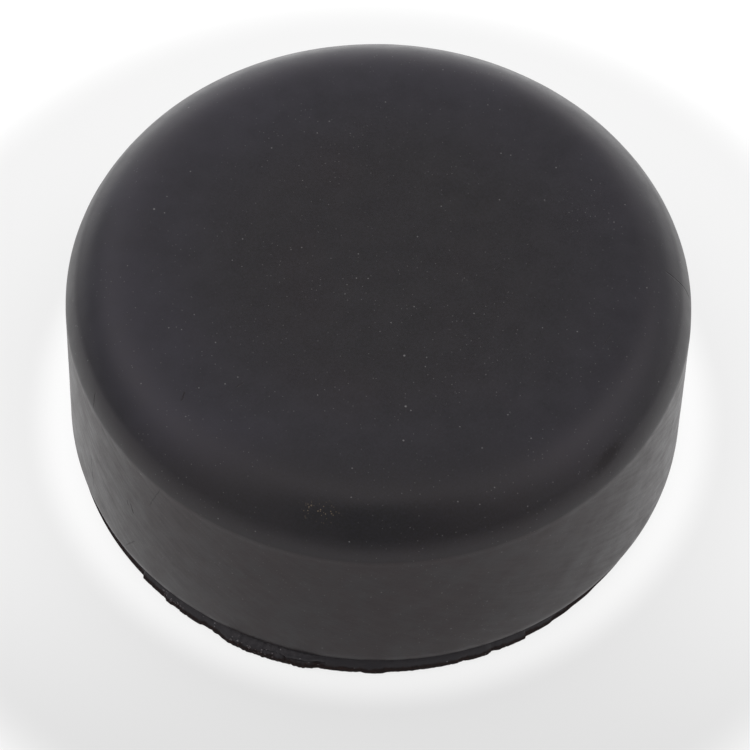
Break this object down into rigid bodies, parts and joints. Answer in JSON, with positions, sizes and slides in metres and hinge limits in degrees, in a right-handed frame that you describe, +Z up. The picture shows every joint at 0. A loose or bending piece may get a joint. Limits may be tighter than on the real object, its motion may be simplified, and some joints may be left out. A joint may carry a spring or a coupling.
{
  "type": "hockey puck",
  "caption": "Solid moulded rubber puck with a flat face, a broad rounded shoulder, a plain wall and a ragged trim edge round the foot; it slides flat and is struck on its wall.",
  "frame": {"origin": "centre of the flat underside, on the surface that the puck rests on", "axes": "+Z up through the top face; the torn tab of the flash points towards -Y, 20 degrees round to -X"},
  "size_m": [0.0762, 0.0765, 0.0313],
  "materials": {
    "moulded_rubber": "satin black, fine moulded skin with pale dust",
    "torn_rubber": "matt black, torn and ragged"
  },
  "bodies": {
    "root": {"puck_body": "moulded_rubber", "trim_flash": "torn_rubber"}
  },
  "joints": []
}
